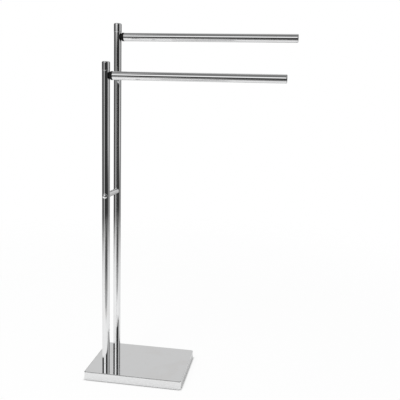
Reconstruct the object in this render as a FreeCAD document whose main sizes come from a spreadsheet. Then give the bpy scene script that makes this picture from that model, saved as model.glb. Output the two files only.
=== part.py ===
# A freestanding towel stand: two upright tubes on a heavy flat base, each with one towel arm.
# Millimetres, +Z up.  The origin is the centre of the base's underside, on the floor.  +X runs
# along the arms to their free ends and +Y to the back.
#
# The rear post is the taller one, so that what hangs on its arm clears the arm in front.
# The arms reach out over the base from its left end, and a heavy slab in the base holds them up.
import FreeCAD, Part
import math
import os
import re
import Sketcher
from FreeCAD import Placement, Rotation, Vector

# Driving dimensions, each written once.
SIZES = {
    # Base: a drawn sheet tray, upside down, over a cast slab
    "base_length": 246.0,
    "base_width": 180.0,
    "base_height": 20.5,
    "base_corner_radius": 6.0,
    "base_edge_radius": 2.0,
    "skirt_gap": 1.0,
    "shell_sheet": 1.2,
    "slab_clearance": 0.3,
    "slab_chamfer": 1.0,
    "slab_web": 7.0,
    "bolt_seat_dia": 24.0,
    # Base, closed from below: a sheet plate and the pad that stands on the floor
    "plate_sheet": 2.0,
    "plate_clearance": 0.4,
    "pad_thickness": 3.0,
    "pad_inset": 2.0,
    "access_hole_dia": 26.0,
    "screw_inset": 16.0,
    "screw_dia": 3.5,
    "screw_head_dia": 7.0,
    "screw_length": 12.0,
    "screw_clearance": 0.2,
    # Posts
    "post_dia": 19.0,
    "post_wall": 1.0,
    "post_from_left": 37.0,
    "front_post_from_front": 62.0,
    "rear_post_from_back": 28.0,
    "front_post_top": 779.0,
    "rear_post_top": 879.0,
    # Caps on the posts: a domed head over a turned spigot
    "cap_dia": 19.6,
    "cap_length": 21.5,
    "cap_crown_radius": 60.0,
    "cap_edge_radius": 3.0,
    "cap_seam": 0.3,
    "cap_spigot_length": 21.0,
    # Arms
    "arm_dia": 20.0,
    "arm_wall": 1.0,
    "arm_drop": 33.0,
    "lower_arm_reach": 425.0,
    "upper_arm_reach": 446.0,
    "end_cap_length": 3.2,
    "end_cap_edge_radius": 1.8,
    "end_cap_spigot": 9.0,
    "end_cap_wall": 1.5,
    # Saddles between post and arm
    "saddle_dia": 21.0,
    "saddle_ring_length": 4.5,
    "saddle_foot_dia": 12.0,
    "saddle_foot_length": 2.0,
    "saddle_lip": 0.5,
    "saddle_edge_radius": 0.4,
    "saddle_spigot": 3.0,
    # Studs and plugs that hold the arms
    "stud_dia": 8.0,
    "stud_bite": 5.0,
    "stud_in_plug": 18.0,
    "stud_chamfer": 0.8,
    "stud_hole_clearance": 0.2,
    "arm_plug_length": 26.0,
    # Plugs, bolts and washers at the feet of the posts
    "foot_plug_length": 24.0,
    "base_bolt_dia": 8.0,
    "base_bolt_length": 25.0,
    "bolt_head_dia": 14.0,
    "bolt_head_height": 4.4,
    "bolt_head_round": 1.5,
    "bolt_key_width": 5.0,
    "bolt_key_depth": 2.8,
    "bolt_hole_clearance": 0.3,
    "washer_dia": 20.0,
    "washer_thickness": 1.6,
    # Cross tie between the posts at mid height
    "tie_height": 458.0,
    "spacer_dia": 14.0,
    "tie_rod_dia": 5.0,
    "tie_rod_end_gap": 3.0,
    "tie_rod_clearance": 0.3,
    "nut_head_dia": 12.0,
    "nut_head_height": 3.2,
    "nut_crown_radius": 9.0,
    "nut_sleeve_dia": 7.0,
    "nut_sleeve_length": 12.0,
    "nut_sleeve_clearance": 0.15,
    # Fits that repeat: what is pressed into a tube, and a thread in its hole (radial)
    "press_fit": 0.02,
    "thread_fit": 0.05,
}

# Levels, places and fits that follow from them.
DERIVED = {
    "base_top": "skirt_gap + base_height",
    "slab_bottom": "pad_thickness + plate_sheet",
    "slab_top": "base_top - shell_sheet",
    "slab_height": "slab_top - slab_bottom",
    "slab_length": "base_length - 2 * shell_sheet - 2 * slab_clearance",
    "slab_width": "base_width - 2 * shell_sheet - 2 * slab_clearance",
    "slab_corner": "base_corner_radius - shell_sheet - slab_clearance",
    "seat_level": "slab_top - slab_web",
    "plate_length": "base_length - 2 * shell_sheet - 2 * plate_clearance",
    "plate_width": "base_width - 2 * shell_sheet - 2 * plate_clearance",
    "plate_corner": "base_corner_radius - shell_sheet - plate_clearance",
    "pad_length": "plate_length - 2 * pad_inset",
    "pad_width": "plate_width - 2 * pad_inset",
    "screw_x": "base_length / 2 - screw_inset",
    "screw_y": "base_width / 2 - screw_inset",
    "screw_head_height": "(screw_head_dia - screw_dia) / 2",
    "bolt_hole_dia": "base_bolt_dia + 2 * bolt_hole_clearance",
    "bolt_head_level": "seat_level - washer_thickness - bolt_head_height",
    "post_x": "post_from_left - base_length / 2",
    "front_post_y": "front_post_from_front - base_width / 2",
    "rear_post_y": "base_width / 2 - rear_post_from_back",
    "post_spacing": "rear_post_y - front_post_y",
    "post_bore_dia": "post_dia - 2 * post_wall",
    "post_plug_dia": "post_bore_dia - 2 * press_fit",
    "arm_bore_dia": "arm_dia - 2 * arm_wall",
    "arm_plug_dia": "arm_bore_dia - 2 * press_fit",
    "ring_start": "post_dia / 2 + saddle_foot_length",
    "arm_start": "ring_start + saddle_ring_length",
    "stud_hole_dia": "stud_dia + 2 * stud_hole_clearance",
    "stud_thread_dia": "stud_dia + 2 * thread_fit",
    "stud_length": "stud_bite + arm_start + saddle_spigot + stud_in_plug",
    "tie_hole_dia": "tie_rod_dia + 2 * tie_rod_clearance",
    "tie_thread_dia": "tie_rod_dia + 2 * thread_fit",
    "sleeve_hole_dia": "nut_sleeve_dia + 2 * nut_sleeve_clearance",
    "tie_rod_half": "post_spacing / 2 + post_dia / 2 - tie_rod_end_gap",
    "spacer_half": "post_spacing / 2 - sqrt(post_dia ^ 2 - spacer_dia ^ 2) / 2",
    "nut_head_start": "sqrt(post_dia ^ 2 - nut_head_dia ^ 2) / 2",
}

# Which way a piece's own +Z points in the stand.
UPRIGHT = Rotation()
ALONG_ARM = Rotation(Vector(0, 1, 0), 90)
TO_BACK = Rotation(Vector(1, 0, 0), -90)
TO_FRONT = Rotation(Vector(1, 0, 0), 90)

# Sketch references: the origin point and the two axes, and a curve's own points.
ORIGIN, HORIZONTAL, VERTICAL = -1, -1, -2
START, END, CENTRE = 1, 2, 3

doc = FreeCAD.newDocument("towel_stand")
sheet = doc.addObject("Spreadsheet::Sheet", "sizes")
for row, (alias, size) in enumerate(SIZES.items(), start=1):
    sheet.set("A%d" % row, alias)
    sheet.set("B%d" % row, str(size))
    sheet.setAlias("B%d" % row, alias)
doc.recompute()


def formula(words):
    """An expression on the sheet's cells, from an expression on the names above."""
    def spell(match):
        word = match.group()
        if word in SIZES:
            return "sizes." + word
        if word in DERIVED:
            return "(" + formula(DERIVED[word]) + ")"
        return word
    return re.sub(r"[a-z_]+", spell, words)


def number(words):
    """What such an expression comes to."""
    return float(sheet.evalExpression(formula(words)))


def new_piece(label, x="0", y="0", z="0", turn=UPRIGHT):
    """An empty body whose own origin is at x, y, z in the stand."""
    piece = doc.addObject("PartDesign::Body", label)
    piece.Label = label
    piece.Placement = Placement(Vector(), turn)
    for axis, words in zip("xyz", (x, y, z)):
        piece.setExpression("Placement.Base." + axis, formula(words))
    return piece


# ---- sketches --------------------------------------------------------------------------------

def new_sketch(piece, plane, height="0"):
    """A sketch on one of the piece's own origin planes, raised along its normal."""
    sketch = piece.newObject("Sketcher::SketchObject", "sketch")
    support = [f for f in piece.Origin.OriginFeatures if f.Role == plane][0]
    sketch.AttachmentSupport = [(support, "")]
    sketch.MapMode = "FlatFace"
    sketch.setExpression("AttachmentOffset.Base.z", formula(height))
    return sketch


def bind(sketch, kind, where, words):
    """Adds a constraint whose value follows the sheet."""
    index = sketch.addConstraint(Sketcher.Constraint(kind, *where, number(words)))
    sketch.setExpression("Constraints[%d]" % index, formula(words))


def pin(sketch, curve, point, x, y):
    """Holds a curve's point at x, y."""
    for kind, words, axis in (("DistanceX", x, VERTICAL), ("DistanceY", y, HORIZONTAL)):
        if words == "0":
            sketch.addConstraint(Sketcher.Constraint("PointOnObject", curve, point, axis))
        else:
            bind(sketch, kind, (ORIGIN, START, curve, point), words)


def add_circle(sketch, dia, x="0", y="0"):
    centre = Vector(number(x), number(y), 0)
    curve = sketch.addGeometry(Part.Circle(centre, Vector(0, 0, 1), number(dia) / 2))
    bind(sketch, "Diameter", (curve,), dia)
    pin(sketch, curve, CENTRE, x, y)


def join(sketch, side, following):
    """Makes one curve start where another ends."""
    sketch.addConstraint(Sketcher.Constraint("Coincident", side, END, following, START))


def add_outline(sketch, points):
    """A closed outline with straight sides."""
    corners = [Vector(number(x), number(y), 0) for x, y in points]
    for start, end in zip(corners, corners[1:] + corners[:1]):
        sketch.addGeometry(Part.LineSegment(start, end))
    for side, (x, y) in enumerate(points):
        join(sketch, side, (side + 1) % len(points))
        pin(sketch, side, START, x, y)


def add_domed_outline(sketch, points, top, crown, rim=None):
    """Half the section of a turned piece with a domed top.  The points run from the axis to the
    foot of its upright side.  The crown is an arc about the axis that ends at the top, and a rim,
    if the piece has one, is the radius that rounds the corner between them."""
    corners = [Vector(number(x), number(y), 0) for x, y in points]
    radius = number(crown)
    rounding = number(rim) if rim else 0.0
    reach = corners[-1].x - rounding
    rise = math.sqrt((radius - rounding) ** 2 - reach ** 2)
    crown_centre = Vector(0, number(top) - radius, 0)
    rim_centre = crown_centre + Vector(reach, rise, 0)
    meeting = math.atan2(rise, reach)
    corners.append(rim_centre + Vector(rounding, 0, 0))
    for start, end in zip(corners, corners[1:]):
        side = sketch.addGeometry(Part.LineSegment(start, end))
    for low in range(side):
        join(sketch, low, low + 1)
    for low, (x, y) in enumerate(points):
        pin(sketch, low, START, x, y)
    sketch.addConstraint(Sketcher.Constraint("Vertical", side))
    circle = Part.Circle(crown_centre, Vector(0, 0, 1), radius)
    dome = sketch.addGeometry(Part.ArcOfCircle(circle, meeting, math.pi / 2))
    sketch.addConstraint(Sketcher.Constraint("PointOnObject", dome, CENTRE, VERTICAL))
    bind(sketch, "Radius", (dome,), crown)
    pin(sketch, dome, END, "0", top)
    if rim:
        circle = Part.Circle(rim_centre, Vector(0, 0, 1), rounding)
        edge = sketch.addGeometry(Part.ArcOfCircle(circle, 0, meeting))
        sketch.addConstraint(Sketcher.Constraint("Tangent", side, END, edge, START))
        sketch.addConstraint(Sketcher.Constraint("Tangent", edge, END, dome, START))
        bind(sketch, "Radius", (edge,), rim)
    else:
        join(sketch, side, dome)
    axis = sketch.addGeometry(Part.LineSegment(Vector(0, number(top), 0), corners[0]))
    join(sketch, dome, axis)
    join(sketch, axis, 0)


def add_rounded_rectangle(sketch, length, width, radius):
    """A rectangle about the origin with four round corners, each an arc followed by a side."""
    reach_x = "((%s) / 2 - (%s))" % (length, radius)
    reach_y = "((%s) / 2 - (%s))" % (width, radius)
    size = number(radius)
    quarter = math.pi / 2
    centres = (("", "-"), ("", ""), ("-", ""), ("-", "-"))
    arcs = []
    for turn, (sign_x, sign_y) in enumerate(centres, start=-1):
        centre = Vector(number(sign_x + reach_x), number(sign_y + reach_y), 0)
        circle = Part.Circle(centre, Vector(0, 0, 1), size)
        arc = Part.ArcOfCircle(circle, turn * quarter, (turn + 1) * quarter)
        arcs.append(sketch.addGeometry(arc))
        pin(sketch, arcs[-1], CENTRE, sign_x + reach_x, sign_y + reach_y)
        bind(sketch, "Radius", (arcs[-1],), radius)
    for arc, following in zip(arcs, arcs[1:] + arcs[:1]):
        start = sketch.getPoint(arc, END)
        side = sketch.addGeometry(Part.LineSegment(start, sketch.getPoint(following, START)))
        sketch.addConstraint(Sketcher.Constraint("Tangent", arc, END, side, START))
        sketch.addConstraint(Sketcher.Constraint("Tangent", side, END, following, START))


# ---- features --------------------------------------------------------------------------------

def pad(piece, sketch, length, symmetric=False):
    feature = piece.newObject("PartDesign::Pad", "pad")
    feature.Profile = sketch
    feature.SideType = "Symmetric" if symmetric else "One side"
    feature.setExpression("Length", formula(length))
    doc.recompute()
    return feature


def pocket(piece, sketch, length, forward=False, symmetric=False):
    """Cuts the sketch out of the piece, against its normal, or along it when forward is set."""
    before = piece.Shape.Volume
    feature = piece.newObject("PartDesign::Pocket", "pocket")
    feature.Profile = sketch
    feature.SideType = "Symmetric" if symmetric else "One side"
    feature.Reversed = forward
    feature.setExpression("Length", formula(length))
    doc.recompute()
    if not piece.Shape.Volume < before:
        raise RuntimeError("a pocket in %s cuts nothing" % piece.Label)
    return feature


def revolve(piece, sketch):
    """Turns the sketch about its vertical axis."""
    feature = piece.newObject("PartDesign::Revolution", "revolution")
    feature.Profile = sketch
    feature.ReferenceAxis = (sketch, ["V_Axis"])
    feature.Angle = 360
    doc.recompute()
    return feature


def dress(piece, kind, wanted, size_name, words):
    """A fillet or chamfer on the edges of the piece so far that wanted() picks."""
    base = piece.Tip
    edges = ["Edge%d" % n for n, edge in enumerate(base.Shape.Edges, start=1) if wanted(edge)]
    if not edges:
        raise RuntimeError("no edge to dress on %s" % piece.Label)
    feature = piece.newObject("PartDesign::" + kind, kind.lower())
    feature.Base = (base, edges)
    feature.setExpression(size_name, formula(words))
    doc.recompute()
    return feature


def fillet(piece, wanted, radius):
    return dress(piece, "Fillet", wanted, "Radius", radius)


def chamfer(piece, wanted, size):
    return dress(piece, "Chamfer", wanted, "Size", size)


def at_level(level):
    """Picks the edges that lie flat at a level, given in words."""
    height = number(level)
    return lambda edge: max(abs(edge.BoundBox.ZMin - height), abs(edge.BoundBox.ZMax - height)) < 1e-4


def ring_at(level, dia):
    """Picks the round edge of this diameter at a level."""
    flat = at_level(level)
    reach = number(dia)
    return lambda edge: flat(edge) and abs(edge.BoundBox.XLength - reach) < 1e-3


def repeat(piece, feature, steps):
    """Copies a feature along the piece's own axes: steps lists (axis, distance in words)."""
    several = piece.newObject("PartDesign::MultiTransform", "repeat")
    several.Originals = [feature]
    patterns = []
    for axis, distance in steps:
        pattern = piece.newObject("PartDesign::LinearPattern", "pattern")
        line = [f for f in piece.Origin.OriginFeatures if f.Role == axis][0]
        pattern.Direction = (line, [""])
        pattern.Occurrences = 2
        pattern.setExpression("Length", formula(distance))
        patterns.append(pattern)
    several.Transformations = patterns
    piece.Tip = several
    doc.recompute()


# ---- base ------------------------------------------------------------------------------------

def post_places(sketch, dia):
    """One circle under each post, in a sketch about the base's centre."""
    add_circle(sketch, dia, "post_x", "front_post_y")
    add_circle(sketch, dia, "post_x", "rear_post_y")


def rounded_block(label, length, width, height, corner, level):
    """A rectangular block with rounded upright corners, standing at a level."""
    piece = new_piece(label, z=level)
    sketch = new_sketch(piece, "XY_Plane")
    add_rounded_rectangle(sketch, length, width, corner)
    pad(piece, sketch, height)
    return piece


def base_shell():
    """The tray: top and skirts drawn from one sheet, with soft edges outside and inside."""
    piece = rounded_block("base_shell", "base_length", "base_width", "base_height",
                          "base_corner_radius", "skirt_gap")
    fillet(piece, at_level("base_height"), "base_edge_radius")
    hollow = new_sketch(piece, "XY_Plane")
    add_rounded_rectangle(hollow, "base_length - 2 * shell_sheet", "base_width - 2 * shell_sheet",
                          "base_corner_radius - shell_sheet")
    pocket(piece, hollow, "base_height - shell_sheet", forward=True)
    fillet(piece, at_level("base_height - shell_sheet"), "base_edge_radius - shell_sheet")
    holes = new_sketch(piece, "XY_Plane", "base_height")
    post_places(holes, "bolt_hole_dia")
    pocket(piece, holes, "2 * shell_sheet")


def ballast_slab():
    """The cast filling: bolt holes with wide seats from below, and blind holes for the screws."""
    piece = rounded_block("ballast_slab", "slab_length", "slab_width", "slab_height",
                          "slab_corner", "slab_bottom")
    chamfer(piece, at_level("slab_height"), "slab_chamfer")
    holes = new_sketch(piece, "XY_Plane")
    post_places(holes, "bolt_hole_dia")
    pocket(piece, holes, "slab_height", forward=True)
    seats = new_sketch(piece, "XY_Plane")
    post_places(seats, "bolt_seat_dia")
    pocket(piece, seats, "slab_height - slab_web", forward=True)
    screws = new_sketch(piece, "XY_Plane")
    for x in ("-screw_x", "screw_x"):
        for y in ("-screw_y", "screw_y"):
            add_circle(screws, "screw_dia + 2 * thread_fit", x, y)
    pocket(piece, screws, "screw_length - plate_sheet + screw_clearance", forward=True)


def bottom_plate():
    """Closes the tray.  The bolts stay in reach through its round holes."""
    piece = rounded_block("bottom_plate", "plate_length", "plate_width", "plate_sheet",
                          "plate_corner", "pad_thickness")
    holes = new_sketch(piece, "XY_Plane")
    post_places(holes, "access_hole_dia")
    pocket(piece, holes, "plate_sheet", forward=True)
    screws = new_sketch(piece, "XY_Plane")
    for x in ("-screw_x", "screw_x"):
        for y in ("-screw_y", "screw_y"):
            add_circle(screws, "screw_dia + 2 * screw_clearance", x, y)
    pocket(piece, screws, "plate_sheet", forward=True)
    chamfer(piece, ring_at("0", "screw_dia + 2 * screw_clearance"), "screw_head_height")


def anti_slip_pad():
    """The sheet that the stand rests on.  It reaches a little below the tray's rim."""
    piece = rounded_block("anti_slip_pad", "pad_length", "pad_width", "pad_thickness",
                          "plate_corner", "0")
    holes = new_sketch(piece, "XY_Plane")
    post_places(holes, "access_hole_dia")
    pocket(piece, holes, "pad_thickness", forward=True)


def cover_screws():
    """Four countersunk screws, heads level with the plate's underside."""
    piece = new_piece("cover_screws", "-screw_x", "-screw_y", "pad_thickness")
    piece.AllowCompound = True
    profile = new_sketch(piece, "XZ_Plane")
    add_outline(profile, [("0", "0"), ("screw_head_dia / 2", "0"),
                          ("screw_dia / 2", "screw_head_height"),
                          ("screw_dia / 2", "screw_length - screw_dia / 2"),
                          ("0", "screw_length")])
    turned = revolve(piece, profile)
    repeat(piece, turned, [("X_Axis", "2 * screw_x"), ("Y_Axis", "2 * screw_y")])


def base_bolts():
    """A button-head bolt under each post, with a six-sided socket."""
    piece = new_piece("base_bolts", "post_x", "front_post_y", "bolt_head_level")
    piece.AllowCompound = True
    profile = new_sketch(piece, "XZ_Plane")
    tip = "bolt_head_height + base_bolt_length"
    add_outline(profile, [("0", "0"), ("bolt_head_dia / 2 - bolt_head_round", "0"),
                          ("bolt_head_dia / 2", "bolt_head_round"),
                          ("bolt_head_dia / 2", "bolt_head_height"),
                          ("base_bolt_dia / 2", "bolt_head_height"),
                          ("base_bolt_dia / 2", tip + " - stud_chamfer"),
                          ("base_bolt_dia / 2 - stud_chamfer", tip), ("0", tip)])
    turned = revolve(piece, profile)
    key = new_sketch(piece, "XY_Plane")
    corner = "bolt_key_width / sqrt(3)"
    flat = "bolt_key_width / 2"
    add_outline(key, [(corner, "0"), ("%s / 2" % corner, flat), ("-%s / 2" % corner, flat),
                      ("-" + corner, "0"), ("-%s / 2" % corner, "-" + flat),
                      ("%s / 2" % corner, "-" + flat)])
    socket = pocket(piece, key, "bolt_key_depth", forward=True)
    several = piece.newObject("PartDesign::LinearPattern", "pattern")
    several.Originals = [turned, socket]
    several.Direction = ([f for f in piece.Origin.OriginFeatures if f.Role == "Y_Axis"][0], [""])
    several.Occurrences = 2
    several.setExpression("Length", formula("post_spacing"))
    piece.Tip = several
    doc.recompute()


def base_washers():
    piece = new_piece("base_washers", z="seat_level - washer_thickness")
    piece.AllowCompound = True
    sketch = new_sketch(piece, "XY_Plane")
    post_places(sketch, "washer_dia")
    post_places(sketch, "bolt_hole_dia")
    pad(piece, sketch, "washer_thickness")


# ---- posts -----------------------------------------------------------------------------------

def post(name, y, top, outward):
    """An upright tube from the tray to its cap.  A stud passes its wall towards the arm, and the
    cross tie goes through it: the nut's sleeve on the outer side and the rod on the inner one."""
    piece = new_piece(name + "_post", "post_x", y, "base_top")
    sketch = new_sketch(piece, "XY_Plane")
    add_circle(sketch, "post_dia")
    add_circle(sketch, "post_bore_dia")
    pad(piece, sketch, "%s - cap_length - base_top" % top)
    stud = new_sketch(piece, "YZ_Plane")
    add_circle(stud, "stud_hole_dia", "0", "%s - arm_drop - base_top" % top)
    pocket(piece, stud, "post_dia", forward=True)
    for dia, side in (("sleeve_hole_dia", outward), ("tie_hole_dia", not outward)):
        tie = new_sketch(piece, "XZ_Plane")
        add_circle(tie, dia, "0", "tie_height - base_top")
        pocket(piece, tie, "post_dia", forward=side)


def foot_plug(name, y):
    """A threaded plug pressed into the post's foot, for the bolt from below."""
    piece = new_piece(name + "_foot_plug", "post_x", y, "base_top")
    sketch = new_sketch(piece, "XY_Plane")
    add_circle(sketch, "post_plug_dia")
    add_circle(sketch, "base_bolt_dia + 2 * thread_fit")
    pad(piece, sketch, "foot_plug_length")
    chamfer(piece, ring_at("foot_plug_length", "post_plug_dia"), "stud_chamfer")


def post_cap(name, y, top):
    """A turned cap: a crowned head a little wider than the tube, and a spigot down inside it with
    the cross thread that holds the arm's stud."""
    piece = new_piece(name + "_post_cap", "post_x", y, "%s - cap_length" % top)
    profile = new_sketch(piece, "XZ_Plane")
    add_domed_outline(profile, [("0", "-cap_spigot_length"),
                                ("post_plug_dia / 2 - stud_chamfer", "-cap_spigot_length"),
                                ("post_plug_dia / 2", "stud_chamfer - cap_spigot_length"),
                                ("post_plug_dia / 2", "0"),
                                ("cap_dia / 2 - cap_seam", "0"), ("cap_dia / 2", "cap_seam")],
                      "cap_length", "cap_crown_radius", "cap_edge_radius")
    revolve(piece, profile)
    thread = new_sketch(piece, "YZ_Plane", "-stud_bite")
    add_circle(thread, "stud_thread_dia", "0", "cap_length - arm_drop")
    pocket(piece, thread, "stud_bite + post_dia", forward=True)


# ---- arms ------------------------------------------------------------------------------------

def arm(name, y, level, reach):
    """A straight tube from the saddle to its end cap."""
    piece = new_piece(name + "_arm", "post_x + arm_start", y, level, ALONG_ARM)
    sketch = new_sketch(piece, "XY_Plane")
    add_circle(sketch, "arm_dia")
    add_circle(sketch, "arm_bore_dia")
    pad(piece, sketch, "%s - arm_start - end_cap_length" % reach)


def arm_end_cap(name, y, level, reach):
    """A crowned cap, level with the tube, on a hollow spigot."""
    piece = new_piece(name + "_arm_end_cap", "post_x + %s - end_cap_length" % reach, y, level, ALONG_ARM)
    bore = "arm_plug_dia / 2 - end_cap_wall"
    profile = new_sketch(piece, "XZ_Plane")
    add_domed_outline(profile, [("0", "0"), (bore, "0"), (bore, "-end_cap_spigot"),
                                ("arm_plug_dia / 2", "-end_cap_spigot"),
                                ("arm_plug_dia / 2", "0"), ("arm_dia / 2", "0")],
                      "end_cap_length", "cap_crown_radius", "end_cap_edge_radius")
    revolve(piece, profile)


def arm_saddle(name, y, level):
    """The black piece between post and arm: a narrow foot hollowed to the post's round, a ring
    that stands clear of the post and carries the arm, and a spigot that centres the arm's tube."""
    piece = new_piece(name + "_arm_saddle", "post_x", y, level, ALONG_ARM)
    profile = new_sketch(piece, "XZ_Plane")
    add_outline(profile, [("stud_hole_dia / 2", "post_dia / 2 - saddle_lip"),
                          ("saddle_foot_dia / 2", "post_dia / 2 - saddle_lip"),
                          ("saddle_foot_dia / 2", "ring_start"), ("saddle_dia / 2", "ring_start"),
                          ("saddle_dia / 2", "arm_start"), ("arm_plug_dia / 2", "arm_start"),
                          ("arm_plug_dia / 2", "arm_start + saddle_spigot"),
                          ("stud_hole_dia / 2", "arm_start + saddle_spigot")])
    revolve(piece, profile)
    for level in ("ring_start", "arm_start"):
        fillet(piece, ring_at(level, "saddle_dia"), "saddle_edge_radius")
    hollow = new_sketch(piece, "YZ_Plane")
    add_circle(hollow, "post_dia")
    pocket(piece, hollow, "2 * saddle_dia", symmetric=True)


def arm_plug(name, y, level):
    """A threaded plug pressed into the arm's root, behind the saddle's ring."""
    piece = new_piece(name + "_arm_plug", "post_x + arm_start + saddle_spigot", y, level, ALONG_ARM)
    sketch = new_sketch(piece, "XY_Plane")
    add_circle(sketch, "arm_plug_dia")
    add_circle(sketch, "stud_thread_dia")
    pad(piece, sketch, "arm_plug_length")
    chamfer(piece, ring_at("arm_plug_length", "arm_plug_dia"), "stud_chamfer")


def arm_stud(name, y, level):
    """From the cap's spigot through the post's wall and the saddle into the arm's plug."""
    piece = new_piece(name + "_arm_stud", "post_x - stud_bite", y, level, ALONG_ARM)
    sketch = new_sketch(piece, "XY_Plane")
    add_circle(sketch, "stud_dia")
    pad(piece, sketch, "stud_length")
    for end in ("0", "stud_length"):
        chamfer(piece, ring_at(end, "stud_dia"), "stud_chamfer")


# ---- cross tie -------------------------------------------------------------------------------

def cross_spacer():
    """A short tube between the posts, its ends hollowed to fit their round."""
    piece = new_piece("cross_spacer", "post_x", "(front_post_y + rear_post_y) / 2", "tie_height", TO_BACK)
    sketch = new_sketch(piece, "XY_Plane")
    add_circle(sketch, "spacer_dia")
    add_circle(sketch, "tie_hole_dia")
    pad(piece, sketch, "2 * spacer_half", symmetric=True)
    for side in ("-", ""):
        hollow = new_sketch(piece, "XZ_Plane")
        add_circle(hollow, "post_dia", "0", side + "post_spacing / 2")
        pocket(piece, hollow, "2 * spacer_dia", symmetric=True)


def cross_rod():
    """The threaded rod that draws both posts against the spacer."""
    piece = new_piece("cross_rod", "post_x", "(front_post_y + rear_post_y) / 2", "tie_height", TO_BACK)
    sketch = new_sketch(piece, "XY_Plane")
    add_circle(sketch, "tie_rod_dia")
    pad(piece, sketch, "2 * tie_rod_half", symmetric=True)


def dome_nut(name, y, turn):
    """A sleeve nut: a domed head hollowed to the post's round, and a threaded sleeve inside the
    post that the rod screws into."""
    piece = new_piece(name + "_dome_nut", "post_x", y, "tie_height", turn)
    profile = new_sketch(piece, "XZ_Plane")
    add_domed_outline(profile, [("0", "nut_head_start"), ("nut_head_dia / 2", "nut_head_start")],
                      "post_dia / 2 + nut_head_height", "nut_crown_radius")
    revolve(piece, profile)
    hollow = new_sketch(piece, "XZ_Plane")
    add_circle(hollow, "post_dia")
    pocket(piece, hollow, "2 * nut_head_dia", symmetric=True)
    sleeve = new_sketch(piece, "XY_Plane", "post_dia / 2 - nut_sleeve_length")
    add_circle(sleeve, "nut_sleeve_dia")
    pad(piece, sleeve, "nut_sleeve_length")
    thread = new_sketch(piece, "XY_Plane", "post_dia / 2 - nut_sleeve_length")
    add_circle(thread, "tie_thread_dia")
    pocket(piece, thread, "nut_sleeve_length - tie_rod_end_gap + thread_fit", forward=True)


# ---- the stand -------------------------------------------------------------------------------

base_shell()
ballast_slab()
bottom_plate()
anti_slip_pad()
cover_screws()
base_bolts()
base_washers()

POSTS = (
    # name of the post and its arm, place, top, reach, whether its outer side is the front
    ("front", "lower", "front_post_y", "front_post_top", "lower_arm_reach", True),
    ("rear", "upper", "rear_post_y", "rear_post_top", "upper_arm_reach", False),
)
for post_name, arm_name, place, top, reach, outer_front in POSTS:
    arm_level = "%s - arm_drop" % top
    post(post_name, place, top, outer_front)
    foot_plug(post_name, place)
    post_cap(post_name, place, top)
    arm(arm_name, place, arm_level, reach)
    arm_end_cap(arm_name, place, arm_level, reach)
    arm_saddle(arm_name, place, arm_level)
    arm_plug(arm_name, place, arm_level)
    arm_stud(arm_name, place, arm_level)
    dome_nut(post_name, place, TO_FRONT if outer_front else TO_BACK)

cross_spacer()
cross_rod()
doc.recompute()

for item in doc.Objects:
    if "Invalid" in item.State or "Error" in item.State:
        raise RuntimeError("%s is %s" % (item.Label, item.State))

os.makedirs("parts", exist_ok=True)
pieces = [item for item in doc.Objects if item.TypeId == "PartDesign::Body"]
for piece in pieces:
    if piece.Shape.isNull() or not piece.Shape.isValid():
        raise RuntimeError("%s has no valid shape" % piece.Label)
for piece in pieces:
    piece.Shape.exportStep("parts/%s.step" % piece.Label)
    box = piece.Shape.BoundBox
    print("%-20s %d solid(s) %9.0f mm3  x %7.1f..%6.1f  y %6.1f..%5.1f  z %6.1f..%6.1f" % (
        piece.Label, len(piece.Shape.Solids), piece.Shape.Volume,
        box.XMin, box.XMax, box.YMin, box.YMax, box.ZMin, box.ZMax))
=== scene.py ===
# %% [markdown]
# # A towel stand in polished chrome
#
# The stand is two upright tubes on a heavy flat base, and each tube carries one level arm.  Its
# solids come from the imported frame: every tube, cap, nut and screw is already in its place, in
# metres, with +Z up and the arms along +X.  This notebook gives them their finishes, replaces the
# pieces whose real surface has more to show, and sets up the floor, the light and the camera.
#
# Nothing of the frame is moved.  The first cell loads it.

# %% The frame
import math

import bpy
import numpy as np
from mathutils import Matrix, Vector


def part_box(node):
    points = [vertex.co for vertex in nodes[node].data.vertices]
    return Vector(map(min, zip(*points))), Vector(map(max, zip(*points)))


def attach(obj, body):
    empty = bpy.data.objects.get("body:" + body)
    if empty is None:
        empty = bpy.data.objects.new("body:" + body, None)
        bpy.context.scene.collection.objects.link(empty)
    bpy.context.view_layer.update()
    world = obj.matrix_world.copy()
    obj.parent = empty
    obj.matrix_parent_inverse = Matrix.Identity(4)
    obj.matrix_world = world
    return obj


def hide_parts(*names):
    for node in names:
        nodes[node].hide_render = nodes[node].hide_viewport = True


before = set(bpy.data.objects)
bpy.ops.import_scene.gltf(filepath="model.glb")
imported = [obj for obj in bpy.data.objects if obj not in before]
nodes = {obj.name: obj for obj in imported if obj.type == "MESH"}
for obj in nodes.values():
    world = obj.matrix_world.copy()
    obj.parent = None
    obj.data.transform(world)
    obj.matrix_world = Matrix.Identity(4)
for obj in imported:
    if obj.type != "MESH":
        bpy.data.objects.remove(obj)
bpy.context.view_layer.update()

MM = 0.001
print("pieces in the frame:", len(nodes))

# %% [markdown]
# ## The camera
#
# A camera could be moved by hand until the picture looks right, but a stand made of straight tubes
# gives better evidence.  The places of its edges in the photograph were measured, and the lens, the
# position and the three angles below are the least-squares answer that puts the same edges of the
# frame there, within about one and a half pixels of 400.  The lens is close to a normal 50 mm, so
# the stand was photographed from about chest height and 1.3 m away.
#
# The camera turns in the order of a tripod: the head turns left, then tilts down, and last the
# camera rolls a little in its mount.

# %% The camera
SENSOR_WIDTH = 36.0
LENS = 48.456
CAMERA_PLACE = (0.34184, -1.28243, 0.67123)
TURNED_LEFT = math.radians(8.795)
TILTED_DOWN = math.radians(9.466)
ROLLED = math.radians(1.656)

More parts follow.
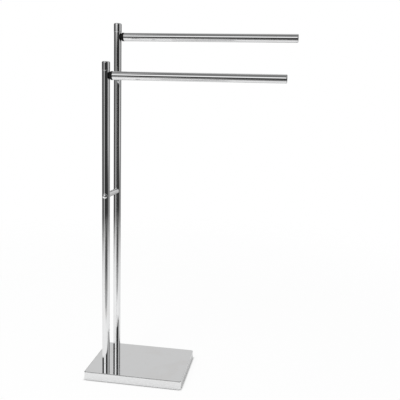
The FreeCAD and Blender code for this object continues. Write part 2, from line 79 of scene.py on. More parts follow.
camera_data = bpy.data.cameras.new("camera")
camera_data.sensor_width = SENSOR_WIDTH
camera_data.lens = LENS
camera = bpy.data.objects.new("camera", camera_data)
bpy.context.scene.collection.objects.link(camera)
bpy.context.scene.camera = camera
LEVEL = math.radians(90)
camera.matrix_world = (Matrix.Translation(CAMERA_PLACE)
                       @ Matrix.Rotation(TURNED_LEFT, 4, "Z")
                       @ Matrix.Rotation(LEVEL - TILTED_DOWN, 4, "X")
                       @ Matrix.Rotation(ROLLED, 4, "Z"))
print("camera at", CAMERA_PLACE, "with a lens of", LENS, "mm")

# %% [markdown]
# ## Writing shader maths as Python
#
# A finish is worked out by nodes: a noise here, a product there, and the result goes into a socket
# of the shader.  Placed one at a time they bury the idea under bookkeeping.  So one small class
# wraps an output of a node and overloads the arithmetic signs, and `0.04 + 0.05 * haze` adds its
# own Math nodes.  Every other kind of node comes from the one method `Tree.add`, which sets what
# the node is first and then feeds its sockets.

# %% A wire and a tree
class Wire:
    """An output of a node.  Arithmetic on it adds Math nodes."""

    def __init__(self, tree, socket):
        self.tree = tree
        self.socket = socket

    def math(self, operation, *values):
        return self.tree.add("Math", {"operation": operation}, dict(enumerate(values)))

    def __add__(self, other):
        return self.math("ADD", self, other)

    __radd__ = __add__

    def __sub__(self, other):
        return self.math("SUBTRACT", self, other)

    def __rsub__(self, other):
        return self.math("SUBTRACT", other, self)

    def __mul__(self, other):
        return self.math("MULTIPLY", self, other)

    __rmul__ = __mul__

    def __abs__(self):
        return self.math("ABSOLUTE", self)


class Tree:
    """The nodes of one material, or of the world."""

    def __init__(self, owner):
        owner.use_nodes = True
        self.nodes = owner.node_tree.nodes
        self.links = owner.node_tree.links
        self.nodes.clear()

    def add(self, kind, settings=None, sockets=None, output=0):
        """Adds a node of this kind, and returns one of its outputs as a wire.  The settings are
        the node's own, and the sockets take values or wires."""
        node = self.nodes.new("ShaderNode" + kind)
        for name, value in (settings or {}).items():
            setattr(node, name, value)
        for name, value in (sockets or {}).items():
            if isinstance(value, Wire):
                self.links.new(value.socket, node.inputs[name])
            else:
                node.inputs[name].default_value = value
        return Wire(self, node.outputs[output]) if node.outputs else None

    def noise(self, place, scale, detail=2.0, distortion=0.0):
        """A cloudy pattern from 0 to 1, with scale lumps to the metre."""
        return self.add("TexNoise", {}, {"Vector": place, "Scale": scale, "Detail": detail,
                                         "Distortion": distortion})

    def stretched(self, place, scale):
        """The same place with each axis multiplied, which squeezes a pattern along it."""
        return self.add("Mapping", {}, {"Vector": place, "Scale": scale})

    def fade(self, value, start, end):
        """0 before start, 1 after end, and a soft S-curve between them."""
        return self.add("MapRange", {"interpolation_type": "SMOOTHSTEP"},
                        {"Value": value, "From Min": start, "From Max": end})

    def mix(self, factor, first, second):
        """The first colour where factor is 0 and the second where it is 1."""
        return self.add("Mix", {"data_type": "RGBA"}, {0: factor, 6: first, 7: second}, 2)

    def bump(self, height, distance, strength=1.0):
        """Tilts the normal as if the surface rose by distance metres where height is 1."""
        return self.add("Bump", {}, {"Height": height, "Distance": distance,
                                     "Strength": strength})


# %% [markdown]
# ## One way to start a material
#
# All the finishes use the Principled shader.  Numbers that are the same over the whole surface are
# set on the shader's own socket, and only what varies is linked: colour, roughness and the normal.
# Object coordinates are metres in the frame, so a scale of 500 means 500 lumps to the metre
# whichever piece it is on.

# %% Starting a material
def new_finish(name):
    """An empty material, its tree, and the place on the surface in metres."""
    material = bpy.data.materials.new(name)
    tree = Tree(material)
    place = tree.add("TexCoord", output="Object")
    return material, tree, place


def close_finish(tree, **sockets):
    """Ends the tree in a Principled shader with these sockets, and in the output."""
    named = {name.replace("_", " "): value for name, value in sockets.items()}
    shader = tree.add("BsdfPrincipled", {}, named)
    tree.add("OutputMaterial", {}, {"Surface": shader})


def grey(level, warmth=0.0):
    """A grey as a colour, a little warmer or cooler."""
    return (level * (1 + warmth), level, level * (1 - warmth), 1.0)


# %% [markdown]
# ## Chrome
#
# Chrome is a mirror with very little colour of its own: what one sees is the studio.  Three faint
# faults make it a real surface.  The tube was polished along its length, which leaves hairlines.
# The plating follows a tube that isn't quite straight and round, so long reflections waver.  And
# hands leave a thin haze, which shows only as slightly wider reflections.
#
# The hairlines are a noise squeezed across the grain.  They and the haze go into Roughness, and the
# waver is a bump of a few hundredths of a millimetre.

# %% Chrome
CHROME = 0.86
CHROME_ROUGHNESS = 0.035
HAZE_ROUGHNESS = 0.05
HAIRLINE_ROUGHNESS = 0.02
HAZE_SCALE = 17.0
HAZE_FROM_TO = (0.50, 0.72)
HAZE_DULLS = 0.97
ACROSS = 1600.0
ALONG = 14.0


def chrome(name, grain, waver, waver_scale):
    """Polished chrome.  Grain is the stretch of the hairlines along x, y and z, and waver is the
    height in metres of slow waves, with waver_scale of them to the metre."""
    material, tree, place = new_finish(name)
    haze = tree.fade(tree.noise(place, HAZE_SCALE, 3.0, 0.6), *HAZE_FROM_TO)
    hairlines = tree.noise(tree.stretched(place, grain), 1.0, 2.0)
    roughness = CHROME_ROUGHNESS + HAZE_ROUGHNESS * haze + HAIRLINE_ROUGHNESS * hairlines
    waves = tree.bump(tree.noise(place, waver_scale, 1.0), waver)
    colour = tree.mix(haze, grey(CHROME, -0.004), grey(CHROME * HAZE_DULLS, 0.004))
    close_finish(tree, Base_Color=colour, Metallic=1.0, Roughness=roughness, Normal=waves)
    return material


chrome_upright = chrome("chrome_upright", (ACROSS, ACROSS, ALONG), 0.06 * MM, 22.0)
chrome_arm = chrome("chrome_arm", (ALONG, ACROSS, ACROSS), 0.02 * MM, 22.0)
chrome_turned = chrome("chrome_turned", (ACROSS, ACROSS, ACROSS), 0.01 * MM, 60.0)
chrome_base = chrome("chrome_base", (ALONG, ACROSS, ACROSS), 0.04 * MM, 18.0)
for made in (chrome_upright, chrome_arm, chrome_turned, chrome_base):
    print("chrome finish:", made.name)

# %% [markdown]
# ## Black plastic
#
# The saddles between post and arm are moulded.  Moulded black isn't zero: it is a very dark grey
# with a broad, dull highlight, broken up by the fine grain of the mould.  The highlight is kept low
# on the shader's own socket, because next to chrome a shiny black would look grey.

# %% Black plastic
PLASTIC_LEVEL = 0.006
PLASTIC_GRAIN = 3500.0
PLASTIC_HIGHLIGHT = 0.2


def moulded_plastic(name, level, grain_scale):
    material, tree, place = new_finish(name)
    grain = tree.noise(place, grain_scale, 3.0)
    patches = tree.fade(tree.noise(place, 140.0), 0.35, 0.65)
    colour = tree.mix(patches, grey(level), grey(level * 1.35, 0.02))
    close_finish(tree, Base_Color=colour, Roughness=0.50 + 0.12 * grain,
                 Specular_IOR_Level=PLASTIC_HIGHLIGHT, Normal=tree.bump(grain, 0.02 * MM))
    return material


black_plastic = moulded_plastic("black_plastic", PLASTIC_LEVEL, PLASTIC_GRAIN)
print("plastic finish:", black_plastic.name)

# %% [markdown]
# ## Zinc
#
# Screws, studs and plugs are zinc plated.  Zinc crystallises in patches that differ a little in
# tone and gloss, and a bluish cast comes from the passivation.

# %% Zinc
def zinc_plate(name):
    material, tree, place = new_finish(name)
    patches = tree.fade(tree.noise(place, 420.0, 2.0, 1.5), 0.38, 0.62)
    grain = tree.noise(place, 5200.0, 2.0)
    colour = tree.mix(patches, (0.56, 0.58, 0.61, 1.0), (0.70, 0.70, 0.68, 1.0))
    close_finish(tree, Base_Color=colour, Metallic=1.0, Roughness=0.26 + 0.16 * patches,
                 Normal=tree.bump(grain, 0.008 * MM))
    return material


zinc = zinc_plate("zinc")
print("zinc finish:", zinc.name)

# %% [markdown]
# ## Cement, paint and rubber
#
# These three show only from below.  The cement fills the tray: grey, with sand grains, air holes
# darkened inside as painted shade, and a slightly darker skin.  The bottom plate has thin black
# paint with an orange-peel surface.
# The pad is closed-cell foam rubber, whose cut cells are small pits, darkened inside as
# painted shade.

# %% Cement, paint and rubber
def cast_cement(name):
    material, tree, place = new_finish(name)
    sand = tree.noise(place, 1400.0, 4.0)
    skin = tree.fade(tree.noise(place, 45.0, 3.0), 0.35, 0.7)
    holes = tree.fade(tree.add("TexVoronoi", {}, {"Vector": place, "Scale": 260.0}), 0.10, 0.22)
    colour = tree.mix(skin, grey(0.55, 0.02), grey(0.43, 0.03))
    speckled = tree.mix(tree.fade(sand, 0.55, 0.75), colour, grey(0.34, 0.03))
    # Painted shade: inside each air hole the colour falls to a dark grey of 0.25.
    holes_in_painted_shade = tree.mix(holes, grey(0.25, 0.03), speckled)
    close_finish(tree, Base_Color=holes_in_painted_shade, Roughness=0.92,
                 Normal=tree.bump(sand + 2.0 * holes, 0.15 * MM))
    return material


def sheet_paint(name):
    material, tree, place = new_finish(name)
    peel = tree.noise(place, 900.0, 2.0)
    rubbed = tree.fade(tree.noise(place, 35.0, 3.0, 0.8), 0.55, 0.75)
    colour = tree.mix(rubbed, grey(0.055), grey(0.085, 0.01))
    close_finish(tree, Base_Color=colour, Roughness=0.35 + 0.2 * rubbed,
                 Normal=tree.bump(peel, 0.03 * MM))
    return material


def foam_rubber(name):
    material, tree, place = new_finish(name)
    cells = tree.add("TexVoronoi", {}, {"Vector": place, "Scale": 1500.0})
    dusty = tree.fade(tree.noise(place, 60.0, 3.0), 0.5, 0.75)
    pits = tree.fade(cells, 0.1, 0.45)
    # Painted shade: the colour is darkest in the middle of each cut cell, inside its pit.
    colour = tree.mix(pits, grey(0.022), grey(0.05))
    greyed = tree.mix(dusty * 0.4, colour, grey(0.11, 0.03))
    close_finish(tree, Base_Color=greyed, Roughness=0.85,
                 Normal=tree.bump(pits, 0.08 * MM))
    return material


cement = cast_cement("cement")
plate_paint = sheet_paint("plate_paint")
pad_rubber = foam_rubber("pad_foam")
print("finishes that show from below:", cement.name, plate_paint.name, pad_rubber.name)

# %% [markdown]
# ## Finishes for the pieces of the frame
#
# A solid of the frame whose shape is right keeps its mesh and gets its finish here.  Such are the
# caps, nuts and spacer, the drawn tray and most of what lies inside it.  The solids that later
# cells replace get theirs too, so that no piece of the frame is left plain.

# %% Finishes for the pieces of the frame
FINISHES = {
    chrome_base: ["base_shell"],
    chrome_turned: ["front_post_cap", "rear_post_cap", "lower_arm_end_cap", "upper_arm_end_cap",
                    "front_dome_nut", "rear_dome_nut", "cross_spacer"],
    chrome_upright: ["front_post", "rear_post"],
    chrome_arm: ["lower_arm", "upper_arm"],
    black_plastic: ["lower_arm_saddle", "upper_arm_saddle"],
    zinc: ["base_bolts", "base_washers", "cover_screws", "front_foot_plug", "rear_foot_plug",
           "lower_arm_plug", "upper_arm_plug", "lower_arm_stud", "upper_arm_stud", "cross_rod"],
    cement: ["ballast_slab"],
    plate_paint: ["bottom_plate"],
    pad_rubber: ["anti_slip_pad"],
}
for finish, names in FINISHES.items():
    for name in names:
        nodes[name].material_slots[0].material = finish
print("nodes with a finish:", sum(len(names) for names in FINISHES.values()))

# %% [markdown]
# ## Surfaces from arrays
#
# The new pieces are all round or nearly so: a ring of points is repeated along an axis, with a
# radius and a height for each row.  Numpy works out every ring in one expression, and the faces are
# the squares between neighbouring points.  A ring whose section is itself a closed loop, as in a
# tube's wall, joins its last row to its first.  Otherwise each end is closed by a fan.
#
# Which way the faces point depends on the order of the points, which is easy to get wrong.  So the
# enclosed volume is measured, and if it is negative all the faces are turned round.

# %% Surfaces from arrays
SHARP_ANGLE = math.radians(38)
UPRIGHT = np.eye(3)
ALONG_ARM = np.array([[0, 0, 1], [1, 0, 0], [0, 1, 0]], float)
TO_BACK = np.array([[1, 0, 0], [0, 0, 1], [0, -1, 0]], float)


def turned(radius, height, columns, origin, axes=UPRIGHT):
    """Points rows x columns x 3 at x = r cos a, y = r sin a, z = h, carried to the origin and
    axes given.  Radius and height have a value for each row, or for each row and column."""
    angle = np.linspace(0, 2 * math.pi, columns, endpoint=False)
    radius = np.asarray(radius, float).reshape(len(height), -1)
    height = np.asarray(height, float).reshape(len(height), -1) + 0 * angle
    ring = np.stack([radius * np.cos(angle), radius * np.sin(angle), height], axis=-1)
    return ring @ axes.T + np.asarray(origin, float)


def grid_faces(rows, columns, loop):
    """The squares of a grid whose columns run round, and whose rows do too if it is a loop."""
    index = np.arange(rows * columns).reshape(rows, columns)
    if loop:
        index = np.vstack([index, index[:1]])
    beside = np.roll(index, -1, axis=1)
    return np.stack([index[:-1], beside[:-1], beside[1:], index[1:]], axis=-1).reshape(-1, 4)


def fan(row, centre, forward):
    """Triangles from a ring of points to the one at its centre."""
    beside = np.roll(row, -1)
    ends = (beside, row) if forward else (row, beside)
    return np.stack([*ends, np.full_like(row, centre)], axis=-1)


def surface(points, loop=False):
    """The vertices and faces of one closed surface, with the faces pointing outwards."""
    rows, columns, _ = points.shape
    vertices = points.reshape(-1, 3)
    faces = grid_faces(rows, columns, loop).tolist()
    if not loop:
        last = rows * columns
        vertices = np.vstack([vertices, points[0].mean(0), points[-1].mean(0)])
        faces += fan(np.arange(columns), last, True).tolist()
        faces += fan(np.arange(last - columns, last), last + 1, False).tolist()
    corners = np.array([face[:3] for face in faces] + [face[-2:] + face[:1] for face in faces
                                                       if len(face) == 4])
    a, b, c = (vertices[corners[:, n]] for n in range(3))
    if np.sum(a * np.cross(b, c)) < 0:
        faces = [face[::-1] for face in faces]
    return vertices, faces


def make_piece(name, surfaces, finish, slot, *replaced):
    """One object from closed surfaces, at the origin, that stands for some nodes of the frame."""
    vertices, faces = [], []
    for more_vertices, more_faces in surfaces:
        start = len(vertices)
        vertices += more_vertices.tolist()
        faces += [[start + corner for corner in face] for face in more_faces]
    mesh = bpy.data.meshes.new(name)
    mesh.from_pydata(vertices, [], faces)
    mesh.shade_smooth()
    mesh.set_sharp_from_angle(angle=SHARP_ANGLE)
    mesh.materials.append(finish)
    piece = bpy.data.objects.new(name, mesh)
    bpy.context.scene.collection.objects.link(piece)
    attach(piece, "root")
    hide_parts(*replaced)
    print(name, "has", len(faces), "faces")
    return piece


# %% [markdown]
# ## Tubes with eased ends
#
# A sawn tube has a sharp edge that would cut the plating, so it is broken by a fraction of a
# millimetre before it is polished.  That small round is what draws the bright line where a post
# meets the base and where its cap begins.  The section of the wall is a rectangle with four
# quarter-circle corners, turned round the tube's axis.
#
# Smooth shading bends the normal from one ring of points to the next.  With no ring between the two
# ends, the tilt of the eased edges would reach along the whole tube and bend its reflections as on
# a barrel.  So each long side has a ring just inside its ends that holds the tilt there.

# %% Tubes with eased ends
X, Y, Z = 0, 1, 2
TUBE_WALL = 1.0 * MM
EASING = 0.35 * MM
TUBE_COLUMNS = 160
CORNER_POINTS = 6
HOLDING = 0.5 * MM


def wall_section(outer, wall, length, easing):
    """Radius and height round the section of a tube's wall.  Each corner is a quarter circle:
    r = centre + easing cos t, h = centre + easing sin t."""
    low, high = easing, length - easing
    near, far = outer - wall + easing, outer - easing
    quarter = np.linspace(0, math.pi / 2, CORNER_POINTS)
    corners = [(far, low, -1), (far, high, 0), (near, high, 1), (near, low, 2)]
    rounds = [(r + easing * np.cos(quarter + turn * math.pi / 2),
               h + easing * np.sin(quarter + turn * math.pi / 2)) for r, h, turn in corners]
    outside = ([outer, outer], [low + HOLDING, high - HOLDING])
    inside = ([outer - wall] * 2, [high - HOLDING, low + HOLDING])
    runs = [rounds[0], outside, rounds[1], rounds[2], inside, rounds[3]]
    radius, height = (np.concatenate([run[part] for run in runs]) for part in range(2))
    return radius, height


def centre_of(node):
    """The centre and the size of a node's box."""
    low, high = (np.array(corner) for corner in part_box(node))
    return (low + high) / 2, high - low


def tube(name, node, finish, axis, axes):
    """A tube in place of a node, along x or z, as long and as thick as the node's box."""
    origin, size = centre_of(node)
    origin[axis] -= size[axis] / 2
    outer = size[(axis + 1) % 3] / 2
    radius, height = wall_section(outer, TUBE_WALL, size[axis], EASING)
    points = turned(radius, height, TUBE_COLUMNS, origin, axes)
    return make_piece(name, [surface(points, loop=True)], finish, "chromed_tube", node)


tube("front_post_tube", "front_post", chrome_upright, Z, UPRIGHT)
tube("rear_post_tube", "rear_post", chrome_upright, Z, UPRIGHT)
tube("lower_arm_tube", "lower_arm", chrome_arm, X, ALONG_ARM)
tube("upper_arm_tube", "upper_arm", chrome_arm, X, ALONG_ARM)

# %% [markdown]
# ## Saddles
#
# Between a round post and the end of a round arm lies a moulded saddle.  Its foot is hollowed to the
# post's curve, a flat shoulder swells to the arm's width, and a spigot centres the arm on it.  The
# solid has hard steps there.  A mould needs soft ones, so the shoulder is rounded here like a lens,
# and the arm's root sits in a thin rim.  The section is a closed loop that is turned round the
# arm's axis, and only the two rows of the foot have a height that changes round the ring, because
# they follow the post.

# %% Saddles
SADDLE_COLUMNS = 72
SHOULDER_ROWS = 8
FOOT_RADIUS = 5.0 * MM
STUD_HOLE_RADIUS = 4.2 * MM
SHOULDER_START = 1.9 * MM          # from the post's surface
SHOULDER_DEPTH = 1.2 * MM
SHOULDER_FLAT = 0.72               # the share of its width that is flat
RIM_RADIUS = 10.3 * MM
RIM_WALL = 0.28 * MM
RIM_OVERLAP = 1.2 * MM
RIM_CHAMFER = 0.1 * MM
SPIGOT_LENGTH = 2.9 * MM
SPIGOT_RADIUS = 8.9 * MM


def saddle(name, node, post, arm):
    """A turned loop: bore, foot, lens-shaped shoulder, rim and spigot.  The foot's rows lie on the
    post, h = sqrt(R^2 - (r cos a)^2), and the shoulder is a quarter of an ellipse."""
    post_centre, post_size = centre_of(post)
    post_radius = post_size[X] / 2
    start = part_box(arm)[0][X] - post_centre[X]
    rim_end = start + RIM_OVERLAP
    shoulder = post_radius + SHOULDER_START
    swell = np.linspace(0, math.pi / 2, SHOULDER_ROWS)
    rise = SHOULDER_FLAT + (1 - SHOULDER_FLAT) * np.sin(swell)
    rows = [(FOOT_RADIUS, shoulder),
            *zip(FOOT_RADIUS + (RIM_RADIUS - FOOT_RADIUS) * rise,
                 shoulder + SHOULDER_DEPTH * (1 - np.cos(swell))),
            (RIM_RADIUS, rim_end - 2 * RIM_CHAMFER), (RIM_RADIUS - RIM_CHAMFER, rim_end),
            (RIM_RADIUS - RIM_WALL, rim_end), (RIM_RADIUS - RIM_WALL, start),
            (SPIGOT_RADIUS, start), (SPIGOT_RADIUS, start + SPIGOT_LENGTH),
            (STUD_HOLE_RADIUS, start + SPIGOT_LENGTH)]
    angle = np.linspace(0, 2 * math.pi, SADDLE_COLUMNS, endpoint=False)
    foot = [(r, np.sqrt(post_radius ** 2 - (r * np.cos(angle)) ** 2))
            for r in (STUD_HOLE_RADIUS, FOOT_RADIUS)]
    radius = [r for r, _ in foot + rows]
    height = np.array([np.broadcast_to(h, SADDLE_COLUMNS) for _, h in foot + rows])
    origin = centre_of(node)[0]
    origin[X] = post_centre[X]
    points = turned(radius, height, SADDLE_COLUMNS, origin, ALONG_ARM)
    return make_piece(name, [surface(points, loop=True)], black_plastic, "black_plastic", node)


saddle("lower_saddle_moulding", "lower_arm_saddle", "front_post", "lower_arm")
saddle("upper_saddle_moulding", "upper_arm_saddle", "rear_post", "upper_arm")

# %% [markdown]
# ## Threads
#
# A thread is a ridge that climbs one pitch in each turn.  On a grid of angle and height the radius
# follows a triangle wave of (height / pitch - angle / full turn), so every ring of points is a
# slightly different outline and the ridge winds up the rod.  At both ends the radius is held under
# a cone, which is the chamfer that lets the thread start.

# %% Threads
THREAD_COLUMNS = 28
ROWS_PER_PITCH = 6
THREAD_SHARE = 0.6


def threaded(crest, pitch, start, end, chamfer, ends=(True, True)):
    """Radius and height of a thread from start to end: r = crest - depth * |wave|, where the
    wave falls from the crest to the root and back once in every pitch."""
    rows = round((end - start) / pitch * ROWS_PER_PITCH) + 1
    height = np.linspace(start, end, rows)
    turn = np.linspace(0, 1, THREAD_COLUMNS, endpoint=False)
    phase = (height[:, None] / pitch - turn) % 1.0
    depth = THREAD_SHARE * pitch
    radius = crest - depth * (1 - np.abs(2 * phase - 1))
    from_end = np.minimum(height - start if ends[0] else np.inf,
                          end - height if ends[1] else np.inf)
    cone = crest - np.maximum(chamfer - from_end, 0)
    return np.minimum(radius, cone[:, None]), height


def threaded_rod(name, node, pitch, chamfer, axis, axes):
    """A rod with a thread from end to end, in place of a node."""
    middle, size = centre_of(node)
    half = size[axis] / 2
    radius, height = threaded(size[(axis + 1) % 3] / 2, pitch, -half, half, chamfer)
    points = turned(radius, height, THREAD_COLUMNS, middle, axes)
    return make_piece(name, [surface(points)], zinc, "zinc_steel", node)


M5 = (0.8 * MM, 0.4 * MM)          # pitch and chamfer
M8 = (1.25 * MM, 0.8 * MM)
threaded_rod("lower_arm_stud_thread", "lower_arm_stud", *M8, X, ALONG_ARM)
threaded_rod("upper_arm_stud_thread", "upper_arm_stud", *M8, X, ALONG_ARM)
threaded_rod("cross_rod_thread", "cross_rod", *M5, Y, TO_BACK)

# %% [markdown]
# ## Bolts and screws
#
# Each bolt is one surface from the floor of its socket to the tip of its thread.  The rings that
# line the socket are hexagons and all the others are circles, and because every ring has the same
# number of points the grid passes from one to the other without a seam.  The screws are made in the
# same way, with a ring in the shape of a cross.
#
# A hexagon's radius at angle a is the distance to its flat side, divided by the cosine of the angle
# away from the middle of that side.  The cross is a circle that swells four times in a turn.

# %% Bolts and screws
BOLT_COLUMNS = 48
BOLT_RADIUS = 4.0 * MM
BOLT_HEAD_RADIUS = 7.0 * MM
BOLT_HEAD_HEIGHT = 4.4 * MM
CROWN_ROWS = 7
CROWN_TOP = 0.62                   # its flat top, as a share of the head's radius
CROWN_HEIGHT = 0.75                # as a share of the head's height
SOCKET_HALF_WIDTH = 2.5 * MM
SOCKET_DEPTH = 2.8 * MM
SOCKET_EASING = 0.25 * MM
SCREW_RADIUS = 1.75 * MM
SCREW_HEAD_RADIUS = 3.5 * MM
SCREW_RIM = 0.1 * MM
SCREW_FLAT = 0.97                  # the flat face, as a share of the head
SCREW_THREAD = (1.3 * MM, 1.6 * MM)
CROSS_RADIUS = 1.7 * MM
CROSS_WAIST = 0.42                 # as a share of its reach
CROSS_DEPTH = 1.6 * MM
CROSS_EASING = 0.15 * MM


def hexagon(half_width):
    """r = half_width / cos(a), with a measured from the middle of the nearest side."""
    angle = np.linspace(0, 2 * math.pi, BOLT_COLUMNS, endpoint=False)
    sixth = math.pi / 3
    return half_width / np.cos((angle + sixth / 2) % sixth - sixth / 2)


def cross(reach, waist):
    """r between waist and reach, high at each quarter turn: the cosine of four times the angle,
    raised so that the arms are narrow."""
    angle = np.linspace(0, 2 * math.pi, BOLT_COLUMNS, endpoint=False)
    swell = (0.5 + 0.5 * np.cos(4 * angle)) ** 3
    return waist + (reach - waist) * swell


def ring_stack(rings):
    """Radius and height arrays from (radius, height) pairs, each radius a number or a ring."""
    radius = np.array([np.broadcast_to(r, BOLT_COLUMNS) for r, _ in rings], float)
    return radius, np.array([h for _, h in rings])


def with_thread(rings, crest, pitch, end, chamfer):
    """The rings followed by a thread up to the end."""
    radius, height = ring_stack(rings)
    start = height[-1]
    thread_radius, thread_height = threaded(crest, pitch, start, end, chamfer, (False, True))
    turn = np.linspace(0, 1, THREAD_COLUMNS + 1)
    wanted = np.linspace(0, 1, BOLT_COLUMNS, endpoint=False)
    closed = np.hstack([thread_radius, thread_radius[:, :1]])
    spread = np.array([np.interp(wanted, turn, row) for row in closed])
    return np.vstack([radius, spread]), np.concatenate([height, thread_height])


def bolt_rings():
    """Socket floor, socket mouth, domed head, flat seat and neck of a button-head bolt."""
    dome = np.linspace(0.12, 1, CROWN_ROWS) * math.pi / 2
    crown = zip(BOLT_HEAD_RADIUS * (CROWN_TOP + (1 - CROWN_TOP) * np.sin(dome)),
                BOLT_HEAD_HEIGHT * CROWN_HEIGHT * (1 - np.cos(dome)))
    return [(hexagon(SOCKET_HALF_WIDTH * 0.96), SOCKET_DEPTH),
            (hexagon(SOCKET_HALF_WIDTH), SOCKET_DEPTH * 0.96),
            (hexagon(SOCKET_HALF_WIDTH), SOCKET_EASING),
            (hexagon(SOCKET_HALF_WIDTH + SOCKET_EASING), 0.0), *crown,
            (BOLT_HEAD_RADIUS, BOLT_HEAD_HEIGHT * 0.95),
            (BOLT_HEAD_RADIUS * 0.99, BOLT_HEAD_HEIGHT),
            (BOLT_RADIUS, BOLT_HEAD_HEIGHT)]


def screw_rings():
    """Cross recess, flat head with a narrow rim, cone and neck of a countersunk screw."""
    return [(cross(CROSS_RADIUS * 0.35, CROSS_RADIUS * 0.2), CROSS_DEPTH),
            (cross(CROSS_RADIUS, CROSS_RADIUS * CROSS_WAIST), CROSS_EASING),
            (cross(CROSS_RADIUS * 1.06, CROSS_RADIUS * 0.5), 0.0),
            (SCREW_HEAD_RADIUS * SCREW_FLAT, 0.0), (SCREW_HEAD_RADIUS, SCREW_RIM),
            (SCREW_RADIUS, SCREW_HEAD_RADIUS - SCREW_RADIUS)]


def mirrored_places(node, radius):
    """The centres of the pieces in the corners of a node's box, at its lowest level."""
    low, high = (np.array(corner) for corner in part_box(node))
    xs = sorted({round(low[X] + radius, 6), round(high[X] - radius, 6)})
    ys = sorted({round(low[Y] + radius, 6), round(high[Y] - radius, 6)})
    return [np.array([x, y, low[Z]]) for x in xs for y in ys], high[Z] - low[Z]


def fasteners(name, node, head_radius, rings, crest, pitch, chamfer):
    """The same threaded piece at every place of a node."""
    places, length = mirrored_places(node, head_radius)
    radius, height = with_thread(rings, crest, pitch, length, chamfer)
    made = [surface(turned(radius, height, BOLT_COLUMNS, place)) for place in places]
    return make_piece(name, made, zinc, "zinc_steel", node)


fasteners("socket_bolts", "base_bolts", BOLT_HEAD_RADIUS, bolt_rings(),
          BOLT_RADIUS, *M8)
fasteners("cross_head_screws", "cover_screws", SCREW_HEAD_RADIUS, screw_rings(),
          SCREW_RADIUS, *SCREW_THREAD)

# %% [markdown]
# ## The floor
#
# Chrome shows whatever stands round it, so the floor is part of its look: the lower third of each
# post mirrors it.  A floor without end would brighten the posts up to the horizon.  In a studio the
# white paper gets its light close to the stand and falls off over the next two steps, and below the
# camera it is in the dark.  So the paper here is a disc that fades out with distance, and again
# round a spot in front.
#
# It has an opening under the stand, where nobody sees it from above, and it lets rays through from
# below, so that the underside can be looked at in daylight too.

# %% The floor
FLOOR_LEVEL = -0.5 * MM
FLOOR_WHITE = 0.93
FLOOR_FADES = (0.50, 2.20)
FLOOR_EDGE = 2.4
FLOOR_COLUMNS = 96
FLOOR_ROWS = 8
OPENING_SHARE = 0.94               # of the pad's size
OPENING_POWER = 8
DARK_SPOT = (0.60, -1.20)
DARK_SPOT_SHAPE = (0.75, 1.0, 1.0)
DARK_RIM = (1.00, 0.80, 0.62)      # from, to, and how much fades there
DARK_CORE = (0.80, 0.35, 0.32)
CAMERA_SHARE = 0.93
GLOSS_SHARE = 0.20
CONTACT = (-1.0 * MM, 5.0 * MM)


def floor_points(low, high):
    """Rows from a circle in to the opening under the pad.  The opening is a superellipse, r =
    1 / (|cos a / half_x|^n + |sin a / half_y|^n)^(1/n), and the rows come closer towards it."""
    angle = np.linspace(0, 2 * math.pi, FLOOR_COLUMNS, endpoint=False)
    half_x, half_y = (high[0] - low[0]) / 2, (high[1] - low[1]) / 2
    inner = ((np.abs(np.cos(angle)) / half_x) ** OPENING_POWER
             + (np.abs(np.sin(angle)) / half_y) ** OPENING_POWER) ** (-1 / OPENING_POWER)
    share = np.linspace(1, 0, FLOOR_ROWS)[:, None] ** 2
    radius = inner * OPENING_SHARE * (1 - share) + FLOOR_EDGE * share
    return turned(radius, np.full(len(share), FLOOR_LEVEL), FLOOR_COLUMNS, (0, 0, 0))


def beside_the_base(tree, place):
    """How far a place on the floor is from the base's outline: max(|x| - half x, |y| - half y)."""
    half = (centre_of("base_shell")[1] / 2).tolist()
    x, y = (tree.add("SeparateXYZ", {}, {0: place}, axis) for axis in "XY")
    return (abs(x) - half[0]).math("MAXIMUM", abs(x) - half[0], abs(y) - half[1])


def floor_finish():
    """White paper.  For the camera a share of it shines at exactly white, so that the background
    is even, and a smaller share for gloss.  The rest takes the light and the stand's shadow, and
    so does all of it close to the base, which keeps the dark line of contact."""
    material, tree, place = new_finish("floor_paper")
    by_camera = tree.add("LightPath", output="Is Camera Ray")
    by_gloss = tree.add("LightPath", output="Is Glossy Ray")
    by_transmission = tree.add("LightPath", output="Is Transmission Ray")
    shares = by_camera * CAMERA_SHARE + (by_gloss + by_transmission) * GLOSS_SHARE
    clear_of_base = tree.fade(beside_the_base(tree, place), *CONTACT)
    paper = tree.add("BsdfDiffuse", {}, {"Color": grey(FLOOR_WHITE)})
    white = tree.add("Emission", {}, {"Color": grey(1.0), "Strength": 1.0})
    lit = tree.add("MixShader", {}, {0: shares * clear_of_base, 1: paper, 2: white})
    distance = tree.add("VectorMath", {"operation": "LENGTH"}, {0: place}, "Value")
    spot = (DARK_SPOT[0] * DARK_SPOT_SHAPE[0], DARK_SPOT[1] * DARK_SPOT_SHAPE[1], 0.0)
    from_spot = tree.add("VectorMath", {"operation": "DISTANCE"},
                         {0: tree.stretched(place, DARK_SPOT_SHAPE), 1: spot}, "Value")
    rim = tree.fade(from_spot, *DARK_RIM[:2]) * DARK_RIM[2]
    core = tree.fade(from_spot, *DARK_CORE[:2]) * DARK_CORE[2]
    beyond = tree.fade(distance, *FLOOR_FADES)
    beyond = beyond.math("MAXIMUM", beyond, rim + core)
    below = tree.add("NewGeometry", output="Backfacing")
    gone = beyond.math("MAXIMUM", beyond, below)
    clear = tree.add("BsdfTransparent")
    tree.add("OutputMaterial", {}, {"Surface": tree.add("MixShader", {},
                                                        {0: gone, 1: lit, 2: clear})})
    return material


points = floor_points(*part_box("anti_slip_pad"))
floor_mesh = bpy.data.meshes.new("floor")
floor_mesh.from_pydata(points.reshape(-1, 3).tolist(), [],
                       grid_faces(*points.shape[:2], False).tolist())
floor_mesh.materials.append(floor_finish())
floor = bpy.data.objects.new("floor", floor_mesh)
bpy.context.scene.collection.objects.link(floor)
print("floor faces up:", floor_mesh.polygons[0].normal.z > 0)

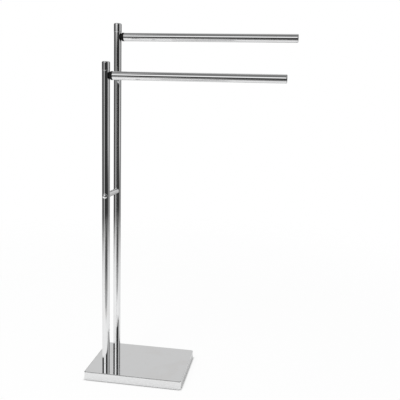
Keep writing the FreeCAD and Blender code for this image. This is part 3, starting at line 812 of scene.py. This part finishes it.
# %% [markdown]
# ## The studio
#
# Matt surfaces need only an even white sky.  Chrome needs something to mirror, and evenly white
# surroundings would make it vanish.  So rays that bounce off gloss see a studio instead: soft light
# panels and dark gaps, painted on the sky by compass bearing and height.  They were placed by
# reading the stripes on the posts and arms.  A round post mirrors the bearings, each stripe at
# twice the angle of its normal, and a level arm mirrors the heights in the same way.
#
# Every panel is a soft-edged rectangle, and later ones are painted over earlier ones.  Bearing 0 is
# towards the front of the stand (-Y) and 90 is towards the arms' free ends (+X).  The camera and
# the background are plain white.

# %% The studio
PANELS = [
    # bearing, height, half width, half height, edge, brightness
    (0, 78, 181, 31, 6, 0.21),       # dim ceiling
    (27, -17, 46, 47, 5, 0.035),     # the dark room behind the camera,
    (27, 41, 46, 11, 3, 0.18),       # and its wall above, a little lighter
    (-34, -3, 12, 17, 3, 0.50),      # a pale wall to the left of it
    (106, -1, 22, 6, 3, 0.30),       # a darker one to the right,
    (112, -14, 32, 9, 4, 0.24),      # and darker still below
    (90, 27, 22, 21, 4, 0.60),       # right light panel
    (83, 1, 9, 7, 3, 0.80),          # and its bright foot
    (180, 30, 28, 42, 6, 0.66),      # back wall
    (180, -5, 28, 11, 5, 0.55),      # its lower part, close to the floor
    (-18, 21, 27, 13, 2, 1.05),      # key panel at the front left
    (-51, 50, 21, 14, 2, 0.80),      # a second one, higher and further left
]
ROOM = 0.08
SKY_FOR_MATT = 0.66


def bearing_and_height(tree):
    """The direction of a ray as two angles in degrees: arctan(x / -y) and arcsin(z)."""
    direction = tree.add("TexCoord", output="Generated")
    parts = [tree.add("SeparateXYZ", {}, {0: direction}, axis) for axis in "XYZ"]
    degrees = 180 / math.pi
    bearing = parts[0].math("ARCTAN2", parts[0], parts[1] * -1.0) * degrees
    height = parts[2].math("ARCSINE", parts[2]) * degrees
    return bearing, height


def studio(tree):
    """The brightness of the studio in every direction."""
    bearing, height = bearing_and_height(tree)
    level = ROOM
    for centre, middle, half_width, half_height, edge, brightness in PANELS:
        aside = abs(bearing.math("WRAP", bearing - centre, 180.0, -180.0))
        above = abs(height - middle)
        mask = (tree.fade(aside, half_width + edge, half_width - edge)
                * tree.fade(above, half_height + edge, half_height - edge))
        level = level + (brightness - level) * mask
    return level


world = bpy.data.worlds.new("studio")
bpy.context.scene.world = world
tree = Tree(world)
for_gloss = tree.add("LightPath", output="Is Glossy Ray")
for_camera = tree.add("LightPath", output="Is Camera Ray")
matt = SKY_FOR_MATT + (1.0 - SKY_FOR_MATT) * for_camera
level = matt + (studio(tree) - matt) * for_gloss
background = tree.add("Background", {}, {"Color": grey(1.0), "Strength": level})
tree.add("OutputWorld", {}, {"Surface": background})

# %% [markdown]
# One soft lamp from the front left gives the floor its shadow.  It is hidden from gloss, because
# the key panel in the sky already stands for it there.

# %% The lamp
LAMP_PLACE = (-0.9, -1.5, 1.9)
LAMP_SIZE = 1.0
LAMP_POWER = 26.0

lamp_data = bpy.data.lights.new("soft_lamp", "AREA")
lamp_data.size = LAMP_SIZE
lamp_data.energy = LAMP_POWER
lamp = bpy.data.objects.new("soft_lamp", lamp_data)
bpy.context.scene.collection.objects.link(lamp)
lamp.location = LAMP_PLACE
lamp.rotation_euler = (-lamp.location).to_track_quat("-Z", "Y").to_euler()
lamp.visible_glossy = False
bpy.context.scene.view_settings.view_transform = "Standard"
